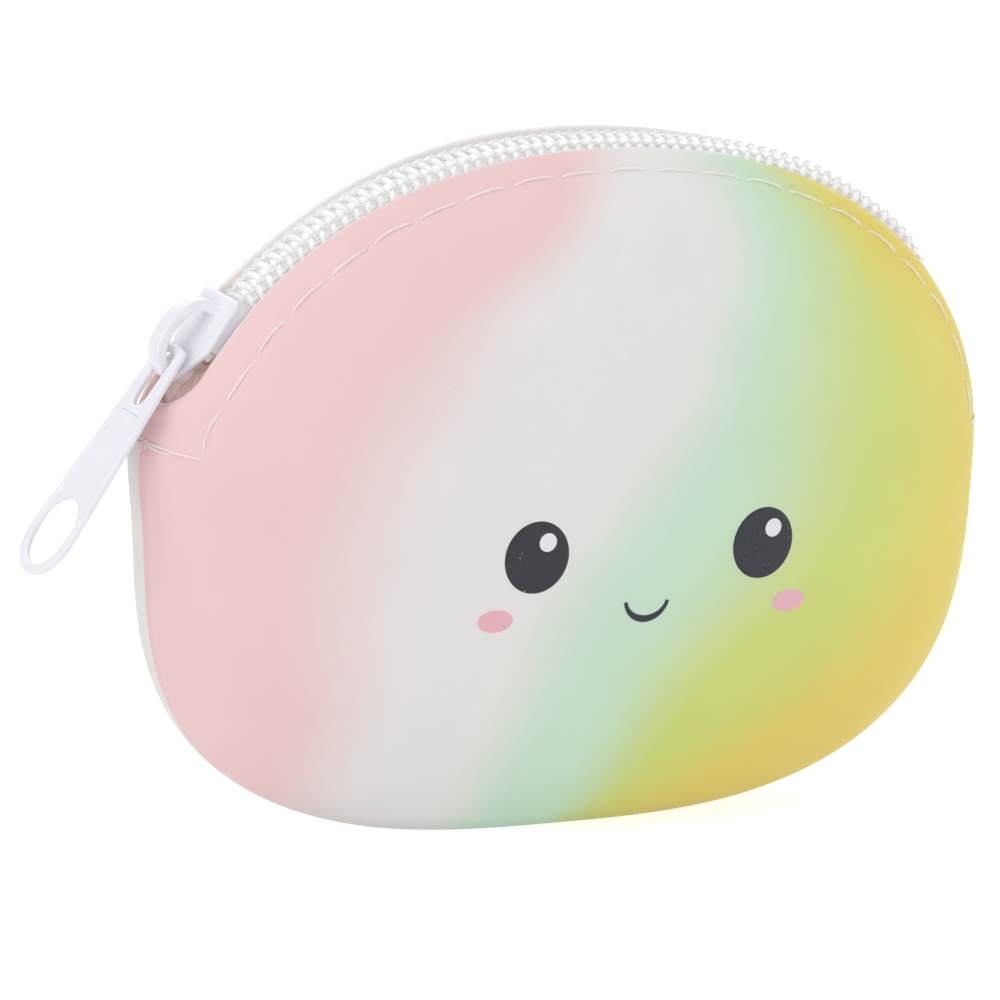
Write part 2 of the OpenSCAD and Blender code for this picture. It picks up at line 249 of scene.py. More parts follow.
def hull(*outlines):
    """Convex outline round several 2-D outlines, counter-clockwise."""
    points = sorted({(round(float(x), 5), round(float(y), 5)) for x, y in np.concatenate(outlines)})

    def chain(ps):
        out = []
        for p in ps:
            while len(out) > 1 and ((out[-1][0] - out[-2][0]) * (p[1] - out[-2][1])
                                    <= (out[-1][1] - out[-2][1]) * (p[0] - out[-2][0])):
                out.pop()
            out.append(p)
        return out[:-1]

    return np.array(chain(points) + chain(points[::-1]))


def circle(x, y, r, steps=48):
    a = around(steps)
    return np.stack([x + r * np.cos(a), y + r * np.sin(a)], 1)


def pair(x, y, r, steps=48):
    """Two circles that mirror each other in the X axis."""
    return np.concatenate([circle(x, side * y, r, steps) for side in (-1, 1)])


def slab(name, outline, low, high, bevel, material, place, holes=(), edge=4):
    """A flat piece with rounded edges, from outlines in its own XY plane, at heights low to high."""
    curve = bpy.data.curves.new(name, "CURVE")
    curve.dimensions = "2D"
    curve.fill_mode = "BOTH"
    curve.extrude = (high - low) / 2 - bevel
    curve.bevel_depth = bevel
    curve.bevel_resolution = edge
    for k, ring in enumerate([outline, *holes]):
        spline = curve.splines.new("POLY")
        ring = shrink(ring, bevel if k == 0 else -bevel)
        spline.points.add(len(ring) - 1)
        for point, (x, y) in zip(spline.points, ring):
            point.co = (x, y, 0, 1)
        spline.use_cyclic_u = True
    shape = add_object(name, curve)
    bpy.context.view_layer.update()
    mesh = bpy.data.meshes.new_from_object(shape.evaluated_get(bpy.context.evaluated_depsgraph_get()))
    bpy.data.objects.remove(shape)
    mesh.name = name
    points = np.array([v.co for v in mesh.vertices], float).reshape(-1, 3)
    points[:, 2] += (low + high) / 2
    mesh.vertices.foreach_set("co", (place(points) * MM).astype(np.float32).ravel())
    merge_close(mesh)
    mesh.shade_smooth()
    mesh.set_sharp_from_angle(angle=math.radians(40))
    mesh.materials.clear()
    mesh.materials.append(material)
    return add_object(name, mesh)


def shrink(ring, distance):
    """The closed outline moved inwards by the distance along its own normals."""
    ring = np.asarray(ring, float)
    ahead, behind = unit(np.roll(ring, -1, 0) - ring), unit(ring - np.roll(ring, 1, 0))
    normal = unit(np.stack([-(ahead + behind)[:, 1], (ahead + behind)[:, 0]], 1))
    turn = np.clip((normal * np.stack([-ahead[:, 1], ahead[:, 0]], 1)).sum(1), 0.5, 1)
    area = (ring[:, 0] * np.roll(ring[:, 1], -1) - np.roll(ring[:, 0], -1) * ring[:, 1]).sum()
    return ring + np.sign(area) * distance * normal / turn[:, None]


def merge_close(mesh, distance=1e-6):
    work = bmesh.new()
    work.from_mesh(mesh)
    bmesh.ops.remove_doubles(work, verts=work.verts, dist=distance)
    bmesh.ops.recalc_face_normals(work, faces=work.faces)
    work.to_mesh(mesh)
    work.free()


def join(name, parts):
    """Joins mesh objects into the first and names it."""
    points, faces, mats, index = [], [], [], []
    start = 0
    for part in parts:
        mesh = part.data
        for m in mesh.materials:
            if m not in mats:
                mats.append(m)
        points += [v.co.copy() for v in mesh.vertices]
        faces += [tuple(start + v for v in p.vertices) for p in mesh.polygons]
        index += [mats.index(mesh.materials[p.material_index]) for p in mesh.polygons]
        start += len(mesh.vertices)
        bpy.data.objects.remove(part)
    mesh = bpy.data.meshes.new(name)
    mesh.from_pydata(points, [], faces)
    mesh.update()
    for m in mats:
        mesh.materials.append(m)
    mesh.polygons.foreach_set("material_index", index)
    mesh.shade_smooth()
    mesh.set_sharp_from_angle(angle=math.radians(40))
    return add_object(name, mesh)


# ---------------------------------------------------------------- materials
def linear(*rgb):
    """Colour from 0..255 screen values."""
    c = np.array(rgb, float) / 255
    c = np.where(c <= 0.04045, c / 12.92, ((c + 0.055) / 1.055) ** 2.4)
    return (*[float(v) for v in c], 1.0)


class Nodes:
    """Short calls for building one material's node tree."""

    def __init__(self, name):
        self.material = bpy.data.materials.new(name)
        self.material.use_nodes = True
        self.tree = self.material.node_tree
        self.shader = self.tree.nodes["Principled BSDF"]
        self.place = self.add("ShaderNodeTexCoord").outputs["Object"]

    def put(self, target, value):
        """Gives an input a fixed value or another node's output."""
        if isinstance(value, bpy.types.NodeSocket):
            self.tree.links.new(value, target)
        else:
            target.default_value = value

    def add(self, kind, inputs=None, **settings):
        node = self.tree.nodes.new(kind)
        for key, value in settings.items():
            setattr(node, key, value)
        for key, value in (inputs or {}).items():
            self.put(node.inputs[key], value)
        return node

    def coordinates(self):
        return tuple(self.add("ShaderNodeSeparateXYZ", {0: self.place}).outputs)

    def math(self, operation, a, b=0.0, clamp=False):
        return self.add("ShaderNodeMath", {0: a, 1: b}, operation=operation, use_clamp=clamp).outputs[0]

    def times(self, *values):
        """The product of the values, each a number or a node's output."""
        product = values[0]
        for value in values[1:]:
            product = self.math("MULTIPLY", product, value)
        return product

    def noise(self, scale, detail=3.0, rough=0.5, stretch=None):
        """Noise of the given size in millimetres."""
        source = self.place
        if stretch is not None:
            source = self.add("ShaderNodeMapping", {"Vector": source, "Scale": stretch}).outputs["Vector"]
        return self.add("ShaderNodeTexNoise", {"Vector": source, "Scale": 1 / (scale * MM), "Detail": detail,
                                               "Roughness": rough}).outputs["Fac"]

    def band(self, value, low, high, to_low=0.0, to_high=1.0):
        """A smooth step from to_low at low to to_high at high."""
        return self.add("ShaderNodeMapRange", {"Value": value, "From Min": low, "From Max": high, "To Min": to_low,
                                               "To Max": to_high}, interpolation_type="SMOOTHSTEP").outputs["Result"]

    def mix(self, factor, a, b, blend="MIX"):
        return self.add("ShaderNodeMix", {0: factor, 6: a, 7: b}, data_type="RGBA", blend_type=blend).outputs[2]

    def bump(self, height, distance, below=None):
        node = self.add("ShaderNodeBump", {"Strength": 1.0, "Distance": distance * MM, "Height": height})
        if below is not None:
            self.put(node.inputs["Normal"], below)
        return node.outputs["Normal"]

    def finish(self, colour, rough, normal, **others):
        """Sets the shader's inputs, whose names have underscores here, and gives the material."""
        for key, value in {"Base_Color": colour, "Roughness": rough, "Normal": normal, **others}.items():
            self.put(self.shader.inputs[key.replace("_", " ")], value)
        return self.material

    def glow(self, colour, strength):
        self.put(self.shader.inputs["Emission Color"], colour)
        self.put(self.shader.inputs["Emission Strength"], strength)


PINK = linear(243, 207, 209)
WHITE = linear(236, 233, 231)
MINT = linear(204, 232, 210)
GREEN = linear(211, 222, 126)
YELLOW = linear(233, 213, 105)
ORANGE = linear(233, 206, 110)
LIP_YELLOW = linear(236, 219, 110)
ROSE = linear(238, 186, 188)
# painted tan shade, for where the rear lip folds under the slider's nose
SHADE_TAN = linear(216, 178, 170)

STRIPE_TALL, STRIPE_WIDE = 80, 120      # the heights and widths that the stripes' curves span

# Where each stripe ends, as x against z in millimetres, then half the width of its soft
# edge near the foot, half way up and at the top, and the colour that follows it.
STRIPES = (
    ([(0, -34), (10, -34.3), (20, -33), (30, -34), (40, -33.2), (50, -29), (60, -22.5), (65, -17.5), (70, -11),
      (74, -6.8), (80, -2)], (6.0, 8.5, 4.5), WHITE),
    ([(0, -15), (6, -14.3), (15, -12.7), (25, -9.8), (30, -8), (40, -0.5), (50, 7), (60, 10.5), (70, 13), (77, 11.5),
      (80, 10.5)], (6.0, 8.0, 6.0), MINT),
    ([(0, -0.5), (6, 1), (10, 2), (15, 3.2), (20, 5.2), (25, 8.8), (30, 13.5), (35, 17), (40, 20), (50, 21.6),
      (60, 22.4), (70, 22.8), (77, 20), (80, 19)], (7.0, 13.0, 8.0), GREEN),
    ([(0, 5), (6, 9), (10, 14.5), (15, 23), (20, 30), (25, 34), (30, 36.7), (40, 40.5), (50, 40.5), (60, 36), (65, 32),
      (70, 28.5), (75, 24), (80, 20)], (10.0, 9.0, 5.0), YELLOW),
)


def stripes(m, first):
    """Soft diagonal stripes, starting with the given colour on the left; also gives x, y and z."""
    x, y, z = m.coordinates()
    wander = m.times(m.math("SUBTRACT", m.noise(22, 2), 0.5), 0.003)
    across = m.math("ADD", x, wander)
    height = m.math("DIVIDE", z, STRIPE_TALL * MM)
    to_middle, to_top = m.band(height, 0.15, 0.42), m.band(height, 0.66, 0.95)
    colour = first
    for points, (low, middle, top), following in STRIPES:
        node = m.add("ShaderNodeFloatCurve", {"Value": height})
        curve = node.mapping.curves[0]
        for k, (level, at) in enumerate(points):
            spot = (level / STRIPE_TALL, at / STRIPE_WIDE + 0.5)
            if k < 2:
                curve.points[k].location = spot
            else:
                curve.points.new(*spot)
        node.mapping.update()
        end = m.times(m.math("SUBTRACT", node.outputs[0], 0.5), STRIPE_WIDE * MM)
        half = m.math("ADD", m.times(to_middle, (middle - low) * MM), low * MM)
        half = m.math("ADD", half, m.times(to_top, (top - middle) * MM))
        past = m.band(m.math("SUBTRACT", across, end), m.times(half, -1.0), half)
        colour = m.mix(past, colour, following)
    return colour, x, y, z


def silicone(name, first):
    """Matte silicone in soft stripes, with dust, scuffs and a paler cut edge along the slot."""
    m = Nodes(name)
    colour, x, y, z = stripes(m, first)
    warm = m.math("MULTIPLY", m.band(x, 0.010, 0.040), m.band(z, 0.030, 0.012), clamp=True)
    colour = m.mix(m.times(warm, 0.5), colour, ORANGE)
    if first is PINK:
        # the lip is deeper yellow at the right and paler along its cut edge at the left
        lip = m.times(m.band(y, -0.0066, -0.0052), m.band(x, 0.020, 0.027), m.band(z, 0.035, 0.050))
        colour = m.mix(m.times(lip, 0.6), colour, LIP_YELLOW)
        cut = m.times(m.band(y, -0.0052, -0.0047), m.band(x, 0.018, 0.004), m.band(z, 0.0545, 0.058))
        colour = m.mix(m.times(cut, 0.75), colour, WHITE)
        # the left edge is rosier towards the parting line
        edge = m.times(m.band(y, -0.0022, -0.0004), m.band(z, 0.056, 0.050), m.band(x, -0.025, -0.040))
        colour = m.mix(m.times(edge, 0.5), colour, ROSE)
    else:
        # the rear lip is white all along, with painted tan shade where it folds under the slider's nose
        lip = m.times(m.band(y, 0.0075, 0.0055), m.band(z, 0.048, 0.056))
        colour = m.mix(lip, colour, WHITE)
        fold_shade = m.times(m.band(y, 0.0068, 0.0050), m.band(x, -0.040, -0.046), m.band(z, 0.0465, 0.0500))
        colour = m.mix(m.times(fold_shade, 0.8), colour, SHADE_TAN)
        # a painted glow on its thin edge stands in for light coming through it
        thin = m.times(m.band(y, 0.0064, 0.0050), m.band(z, 0.0520, 0.0600))
        m.glow(linear(238, 238, 240), m.times(thin, 0.15))
    # fine dust and a few scuffs
    dust = m.band(m.noise(0.9, 2, 0.6), 0.74, 0.80)
    scuff = m.band(m.noise(2.2, 4, 0.7, (1, 1, 0.35)), 0.735, 0.78)
    marks = m.math("MAXIMUM", m.times(dust, 0.16), m.times(scuff, 0.14))
    colour = m.mix(marks, colour, linear(120, 108, 104))
    mottle = m.times(m.band(m.noise(14, 3), 0.3, 0.7), 0.05)
    colour = m.mix(mottle, colour, linear(200, 190, 186), "MULTIPLY")
    grain = m.bump(m.noise(0.25, 3, 0.6), 0.012)
    normal = m.bump(m.noise(9, 2), 0.10, below=grain)
    rough = m.band(m.noise(5, 3), 0.2, 0.8, 0.48, 0.60)
    return m.finish(colour, rough, normal, Subsurface_Weight=0.12, Subsurface_Radius=(0.0035, 0.0018, 0.0014),
                    Subsurface_Scale=1.0, Specular_IOR_Level=0.35, Sheen_Weight=0.05, Sheen_Roughness=0.4)


def nylon():
    """Slightly translucent white nylon wire, with a faint painted glow that lifts its shade."""
    m = Nodes("Zip_Nylon")
    tone = m.band(m.noise(1.1, 3), 0.3, 0.7)
    colour = m.mix(tone, linear(212, 212, 214), linear(228, 228, 230))
    normal = m.bump(m.noise(0.18, 2), 0.01)
    return m.finish(colour, m.band(m.noise(0.8, 2), 0.2, 0.8, 0.24, 0.36), normal, Subsurface_Weight=0.5,
                    Subsurface_Radius=(0.0015, 0.0015, 0.0014), Subsurface_Scale=1.0, Specular_IOR_Level=0.6,
                    Emission_Color=(1, 1, 1, 1), Emission_Strength=0.19)


def woven(name, dark, light):
    """Woven white tape: fine ribs along the zip, crossed by finer ones, with a faint painted glow that lifts its shade.
    """
    m = Nodes(name)
    rib = m.add("ShaderNodeTexWave", {"Vector": m.place, "Scale": 1 / (1.6 * MM), "Distortion": 1.2,
                                      "Detail Scale": 2.0}, wave_type="BANDS", bands_direction="Y")
    fuzz = m.noise(0.22, 3, 0.7)
    weave = m.math("ADD", m.times(rib.outputs["Fac"], 0.6), m.times(fuzz, 0.6))
    colour = m.mix(m.band(weave, 0.3, 0.9), dark, light)
    # painted shade: the ends below the slider's nose are darkened to a blotchy tan, with a painted pinkish glow
    # standing in for light from the soft pink wall
    x, _, z = m.coordinates()
    end = m.times(m.band(z, 0.0595, 0.0565), m.band(x, -0.040, -0.046))
    shade_blotch = m.band(m.noise(0.8, 3, 0.6), 0.35, 0.65, 0.55, 1.0)
    colour = m.mix(m.times(end, shade_blotch), colour, linear(208, 176, 166))
    # a faint painted glow lifts the shade of the whole tape, tan at the ends
    m.glow(m.mix(end, linear(245, 245, 246), linear(214, 180, 170)), 0.16)
    return m.finish(colour, 0.86, m.bump(weave, 0.07), Sheen_Weight=0.25, Sheen_Roughness=0.5,
                    Specular_IOR_Level=0.3)


def sewing_thread(name, dark, light, clear=0.0):
    """Twisted thread. clear is how much of the silicone's colour shows through it."""
    m = Nodes(name)
    twist = m.noise(0.16, 2, 0.6, (1, 0.4, 1.6))
    colour = m.mix(m.band(twist, 0.3, 0.7), dark, light)
    # the opaque thread gets a faint painted glow that lifts its shade
    if not clear:
        m.glow(light, 0.19)
    else:
        below = stripes(m, PINK)[0]
        glint = m.band(m.noise(1.4, 2), 0.35, 0.65, clear, clear * 0.4)
        colour = m.mix(glint, colour, below)
    return m.finish(colour, 0.38, m.bump(twist, 0.03), Specular_IOR_Level=0.5, Subsurface_Weight=0.1,
                    Subsurface_Radius=(0.0008, 0.0008, 0.0008), Subsurface_Scale=1.0)


def lacquer():
    """White satin lacquer on cast metal, a little uneven, with faint wear."""
    m = Nodes("White_Lacquer")
    cloud = m.band(m.noise(3.5, 3), 0.3, 0.7)
    colour = m.mix(cloud, linear(238, 238, 245), linear(242, 242, 248))
    specks = m.band(m.noise(0.45, 2, 0.7), 0.76, 0.80)
    colour = m.mix(m.times(specks, 0.06), colour, linear(170, 170, 178))
    normal = m.bump(m.noise(1.1, 2, 0.5), 0.012)
    return m.finish(colour, m.band(m.noise(3.0, 2), 0.2, 0.8, 0.29, 0.35), normal,
                    Specular_IOR_Level=0.5, Coat_Weight=0.15, Coat_Roughness=0.25)


def ink(name, tint, speck_tint, fleck):
    """Flat printed ink with tiny dust specks."""
    m = Nodes(name)
    specks = m.band(m.noise(0.32, 2, 0.7), 0.70, 0.75)
    colour = m.mix(m.times(specks, fleck), tint, speck_tint)
    tone = m.times(m.band(m.noise(2.5, 3), 0.3, 0.7), 0.25)
    colour = m.mix(tone, colour, speck_tint, "SOFT_LIGHT")
    return m.finish(colour, m.band(m.noise(1.2, 2), 0.2, 0.8, 0.42, 0.52), m.bump(m.noise(0.25, 2), 0.01),
                    Specular_IOR_Level=0.35)


FRONT_SILICONE = silicone("Silicone_Front", PINK)
REAR_SILICONE = silicone("Silicone_Rear", WHITE)
NYLON = nylon()
TAPE = woven("Zip_Tape_Weave", linear(214, 211, 210), linear(240, 239, 238))
CLEAR_THREAD = sewing_thread("Clear_Thread", linear(240, 232, 226), linear(250, 247, 243), 0.5)
COIL_THREAD = sewing_thread("Coil_Thread", linear(208, 208, 209), linear(230, 230, 231))
LACQUER = lacquer()
BLACK_INK = ink("Black_Ink", linear(38, 41, 49), linear(190, 192, 198), 0.7)
WHITE_INK = ink("White_Ink", linear(232, 233, 236), linear(200, 203, 208), 0.3)
CHEEK_INK = ink("Cheek_Ink", linear(233, 180, 190), linear(240, 200, 205), 0.3)


# ---------------------------------------------------------------- the pouch
def stitch_place(i):
    """Start and end of a stitch along a lip, as s."""
    pitch = 2 * BAR_S / STITCHES
    middle = -BAR_S + pitch * (i + 0.5)
    shown = min(STITCH_LEN, pitch - 1.2)
    return middle - shown / 2, middle + shown / 2


LIFT_FADE = 4.5         # how far from the slot the rear lip's lift reaches


def rear_lift(s):
    """How far the soft rear lip stands above the front one."""
    middle = 0.5 * smooth(s, -32, -12) + 0.3 * smooth(s, 12, 22)
    return middle * smooth(s, 52, 30) - 0.55 * smooth(s, -24, -40) * smooth(s, -64, -56)


def lift_at(s, y):
    """The rear lip's lift at the depth y, which fades away from the slot."""
    return rear_lift(s) * bell(np.maximum(y - SLOT_HALF_W, 0), 0, LIFT_FADE)


def dents(s, y):
    """How deep the skin is drawn in by the stitches, and folded at the slot's left end."""
    depth = np.zeros_like(y)
    off = np.abs(np.abs(y) - STITCH_Y)
    for i in range(STITCHES):
        a, b = stitch_place(i)
        beyond = np.maximum(np.maximum(a - s, s - b), 0)
        depth += 0.17 * bell(off, 0, 0.42) * bell(beyond, 0, 0.4)
        for end in (a, b):
            depth += 0.22 * bell(off, 0, 0.35) * bell(s, end, 0.4)
    for side in (-1, 1):
        depth += 0.15 * bell(s, side * (BAR_S + 0.4), 0.45) * (np.abs(y) < STITCH_Y + 0.4)
    # the wall puckers where the left bar of stitches pulls on it
    depth += 0.45 * bell(s, -65.6, 0.9) * bell(y, -2.2, 2.2)
    depth -= 0.35 * bell(s, -63.6, 1.3) * bell(y, -5.4, 2.0)
    return depth


def slot_outline():
    """The slot's rim as s, y and its outward direction, from the left end along one side to the right end."""
    a = np.radians(np.linspace(90, 0, 12))
    straight = SLOT_HALF - SLOT_ROUND
    left = np.stack([-straight - SLOT_ROUND * np.sin(a), SLOT_HALF_W * np.cos(a), -np.sin(a), np.cos(a)], 1)
    s = np.linspace(-straight, straight, 150)[1:-1]
    middle = np.stack([s, 0 * s + SLOT_HALF_W, 0 * s, 0 * s + 1], 1)
    right = left[::-1] * [-1, 1, -1, 1]
    return np.concatenate([left, middle, right])


LIP_R = 0.5             # rounding of the lip's outer edge
PARTING_LINE = 0.14     # depth of the fine groove where the mould parted
FOOT_T = 0.9            # least thickness of the foot that the pouch stands on
OUTER_ROWS = 92
INNER_ROWS = 12
EASE_ROWS = 8           # rows over which the lip's rounding fades into the skin


def pouch():
    rim = slot_outline()
    rest = np.linspace(phi_at(SLOT_HALF + 1.2), phi_at(-SLOT_HALF - 1.2) + 360, 230)
    phi = np.concatenate([phi_at(rim[:, 0]), rest])
    phi_lip = np.concatenate([phi_at(rim[:, 0] + LIP_R * rim[:, 2]), rest])
    y_rim = np.concatenate([rim[:, 1], 0 * rest])
    y_lip = np.concatenate([rim[:, 1] + LIP_R * rim[:, 3], 0 * rest])
    y_lip[[0, len(rim) - 1]] = 0
    in_slot = np.arange(len(phi)) < len(rim)
    n = len(phi)

    def rows(side, inset, count, grow):
        start_y = y_lip if inset == 0 else y_rim
        start_phi = phi_lip if inset == 0 else phi
        start = np.degrees(np.arcsin((start_y / (HALF_T - inset)) ** (DEPTH_N / 2)))
        out = []
        for k in range(count):
            g = (k / count) ** grow
            turn = np.radians(start + (90 - start) * g)
            angle = phi + (start_phi - phi) * max(0, 1 - k / EASE_ROWS)
            y = (HALF_T - inset) * np.sin(turn) ** (2 / DEPTH_N)
            r = reach(angle, inset) * np.maximum(np.cos(turn), 0) ** (2 / EDGE_N)
            from_top = np.abs(wrap(angle))
            s = arc_at(wrap(angle))
            if inset == 0:
                r = r - dents(s, side * y) * (from_top < 105) * bell(r / reach(angle), 1, 0.25)
                r = r - PARTING_LINE * (np.abs(s) > SLOT_HALF + 1.5) * bell(y, 0, 0.3)
            if side > 0:
                r = r + lift_at(s, y) * (from_top < 100)
            p = from_middle(r, side * y, angle)
            p[:, 2] = np.maximum(p[:, 2], 0 if inset == 0 else FOOT_T)
            out.append(p)
        middle = np.array([[0, side * (HALF_T - inset), MID_Z]])
        return out, middle

    points, faces, tags = [], [], []
    total = 0

    def add_rows(block):
        nonlocal total
        starts = []
        for p in block:
            points.append(p)
            starts.append(total)
            total += len(p)
        return starts

    def stitch_rows(a, b, flip, tag, only_slot=False):
        for i in range(n):
            j = (i + 1) % n
            if only_slot and not (in_slot[i] and in_slot[j] and j == i + 1):
                continue
            quad = (a + i, a + j, b + j, b + i)
            faces.append(quad[::-1] if flip else quad)
            tags.append(tag)

    def wall(block, middle, flip, tag):
        """One skin of a half: its rows, closed by a fan round the middle of the face."""
        starts = add_rows(block)
        for a, b in zip(starts, starts[1:]):
            stitch_rows(a, b, flip, tag)
        centre = add_rows([middle])[0]
        for i in range(n):
            tri = (starts[-1] + i, starts[-1] + (i + 1) % n, centre)
            faces.append(tri[::-1] if flip else tri)
            tags.append(tag)
        return starts

    for side in (-1, 1):
        outer, outer_mid = rows(side, 0, OUTER_ROWS, 1.35)
        inner, inner_mid = rows(side, WALL, INNER_ROWS, 1.2)
        tag = 0 if side < 0 else 1
        flip = side > 0
        o = wall(outer, outer_mid, flip, tag)
        w = wall(inner, inner_mid, not flip, tag)
        # the lip's rounded edge and its inner face
        bends = np.radians(np.linspace(0, 90, 6)[1:])
        first = outer[0]
        radial = np.stack([np.sin(np.radians(phi)), 0 * phi, np.cos(np.radians(phi))], 1)
        rim_point = from_middle(reach(phi) * share(y_rim), side * y_rim, phi)
        if side > 0:
            rim_point += radial * rear_lift(arc_at(wrap(phi)))[:, None]
        across = rim_point - first
        lip = [first + across * np.sin(b) - radial * LIP_R * (1 - np.cos(b)) for b in bends]
        e = add_rows(lip)
        chain = [o[0], *e, w[0]]
        for a, b in zip(chain, chain[1:]):
            stitch_rows(a, b, not flip, tag, only_slot=True)
    piece = make_mesh("Pouch_Silicone", np.concatenate(points), faces)
    mesh = piece.data
    mesh.materials.append(FRONT_SILICONE)
    mesh.materials.append(REAR_SILICONE)
    mesh.polygons.foreach_set("material_index", tags[: len(mesh.polygons)])
    merge_close(mesh, 2e-6)
    mesh.shade_smooth()
    return piece


pouch_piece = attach(pouch(), "pouch")
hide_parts("pouch_shell")


# ---------------------------------------------------------------- the zip
COIL_FROM = SLIDER_S - 1.3
COIL_TO = SLOT_HALF - SLOT_ROUND + 1.5
LOOPS = int((COIL_TO - COIL_FROM) / COIL_PITCH)
LOOP_MID = -TAPE_DEPTH + 0.1 + WIRE_R + LOOP_H / 2
LOOP_Y = LOOP_W / 2 - HOOK


def zip_rise(s):
    """The chain bows up out of the slot once it has left the slider, most at the right."""
    return 0.35 * smooth(s, -48, -18) + 1.55 * smooth(s, 6, 38) - 1.65 * smooth(s, 42, 54)


def zip_roll(s):
    """The soft zip leans forward: its rear side stands higher, away from its ends."""
    return np.radians(6.0) * smooth(s, -48, -20) * smooth(s, 48, 36)


def chain_at(s, y, h):
    """A point of the zip, raised and rolled as the soft zip lies."""
    s, y, h = np.broadcast_arrays(np.asarray(s, float), y, h)
    a, pivot = zip_roll(s), LOOP_MID
    yy = y * np.cos(a) - (h - pivot) * np.sin(a)
    hh = pivot + y * np.sin(a) + (h - pivot) * np.cos(a)
    return zip_at(s, yy, hh + zip_rise(s))


def coil(side):
    steps = 20
    turn = np.arange(LOOPS * steps + 1) / steps
    a = np.radians(360 * turn + 30)
    shift = 0 if side < 0 else COIL_PITCH / 2
    s = COIL_FROM + shift + COIL_PITCH * (turn + np.sin(a) / (2 * np.pi))
    flat = np.sign(np.sin(a)) * np.abs(np.sin(a)) ** 0.8
    y = LOOP_Y + LOOP_W / 2 * np.cos(a)
    path = chain_at(s, side * y, LOOP_MID + LOOP_H / 2 * flat)
    radius = WIRE_R * (1 + 0.14 * bell(y, -HOOK, 0.5))
    t = along(COIL_FROM + shift + COIL_PITCH * turn)[0]
    return tube_data(path, radius, 10, t)


def coil_sewing(side):
    """Two threads of the chain stitch: one rides over the loops, one is knotted between their outer ends."""
    s = np.arange(COIL_FROM, COIL_TO, COIL_PITCH / 12)
    shift = 0 if side < 0 else COIL_PITCH / 2
    beat = 2 * np.pi * (s - COIL_FROM - shift) / COIL_PITCH
    top = LOOP_MID + LOOP_H / 2 + WIRE_R
    over = chain_at(s, side * (LOOP_Y + 0.55 + 0.08 * np.sin(beat)), top - 0.12 + 0.20 * np.cos(beat - 2.05))
    knot = np.cos(beat - 2.62)
    beside = chain_at(s, side * (LOOP_Y + LOOP_W / 2 - 0.10 + 0.16 * knot), LOOP_MID + 0.45 + 0.12 * knot)
    n = along(s)[1]
    return [tube_data(over, 0.15, 8, n), tube_data(beside, 0.17 + 0.11 * knot, 10, n)]


def coil_cord(side):
    s = np.arange(COIL_FROM, COIL_TO, 0.8)
    return tube_data(chain_at(s, side * (LOOP_Y + 0.35), LOOP_MID + 0 * s), 0.62, 12, along(s)[1], squeeze=0.85)


def tape(side):
    """A woven band under the coil, which turns down along the inside of the lip."""
    s = np.concatenate([np.linspace(-BAR_S - 1, COIL_FROM + 1, 60)[:-1], np.linspace(COIL_FROM + 1, BAR_S + 1, 150)])
    across = np.linspace(0, 1, 22)
    top, low = [], []
    open_by = smooth(s, COIL_FROM - 3, COIL_FROM + 0.5) * smooth(s, COIL_FROM + 3, COIL_FROM + 0.5)
    inner = 0.12 + 0.9 * open_by + 0.38 * smooth(s, COIL_FROM, COIL_FROM + 3)
    for w in across:
        y = inner + (TAPE_W - inner) * w
        phi = phi_at(s)
        shallow = 1.8 * smooth(s, COIL_FROM - 0.8, COIL_FROM - 3.0)
        crumple = 0.22 * np.sin(5.1 * s + 3.0 * side) * np.sin(2.3 * y + side)
        crumple = crumple * smooth(s, COIL_FROM - 1.5, COIL_FROM - 3.5)
        base = reach(phi) - TAPE_DEPTH + shallow + crumple + zip_rise(s) * smooth(y, 6.5, 3.5)
        base = base + side * y * np.tan(zip_roll(s)) * smooth(y, 6.0, 3.0)
        under = reach(phi, WALL) * share(y, WALL) - 0.55
        r = np.minimum(base, under)
        for out, drop in ((top, 0), (low, TAPE_T)):
            out.append(from_middle(r - drop, side * y, phi))
    ring = top + low[::-1]
    points = np.stack(ring, 1)
    rows, k = points.shape[:2]
    faces = ring_faces(rows, k)
    faces += [tuple(range(k))[::-1], tuple((rows - 1) * k + j for j in range(k))]
    return points.reshape(-1, 3), [f[::-1] for f in faces] if side > 0 else faces


for side, word in ((-1, "front"), (1, "rear")):
    title = word.capitalize()
    piece = tubes("Zip_Coil_" + title, [coil(side)], NYLON)
    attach(piece, "pouch")
    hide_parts("zip_coil_" + word)
    piece = tubes("Coil_Sewing_" + title, coil_sewing(side), COIL_THREAD)
    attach(piece, "pouch")
    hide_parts("coil_sewing_" + word)
    piece = tubes("Coil_Cord_" + title, [coil_cord(side)], TAPE)
    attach(piece, "pouch")
    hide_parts("coil_cord_" + word)
    points, faces = tape(side)
    piece = make_mesh("Zip_Tape_" + title, points, faces, TAPE, sharp=50)
    merge_close(piece.data)
    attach(piece, "pouch")
    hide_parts("zip_tape_" + word)
    # each piece of the zip gets a mesh of its own
    for part in ("Zip_Coil_", "Coil_Sewing_", "Coil_Cord_", "Zip_Tape_"):
        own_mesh(bpy.data.objects[part + title])


# ---------------------------------------------------------------- the stitching
def skin_at(s, y, h):
    """A point h above the skin at s and the depth y."""
    phi = phi_at(s)
    r = reach(phi) * share(y) + h
    if np.any(y > 0):
        r = r + lift_at(s, y)
    return from_middle(r, y, phi)


def stitch_row(side):
    parts = []
    for i in range(STITCHES):
        a, b = stitch_place(i)
        a, b = a - 0.1, b + 0.1
        t = np.linspace(0, 1, 17)
        s = a + (b - a) * t
        arch = np.sin(np.pi * t) ** 0.35
        h = -0.44 + 0.42 * arch
        sway = 0.10 * math.sin(2.4 * i + side) * np.sin(np.pi * t)
        y = side * (STITCH_Y + sway)
        parts.append(tube_data(skin_at(s, y + 0 * s, h), THREAD_R, 10, along(s)[1]))
    return parts


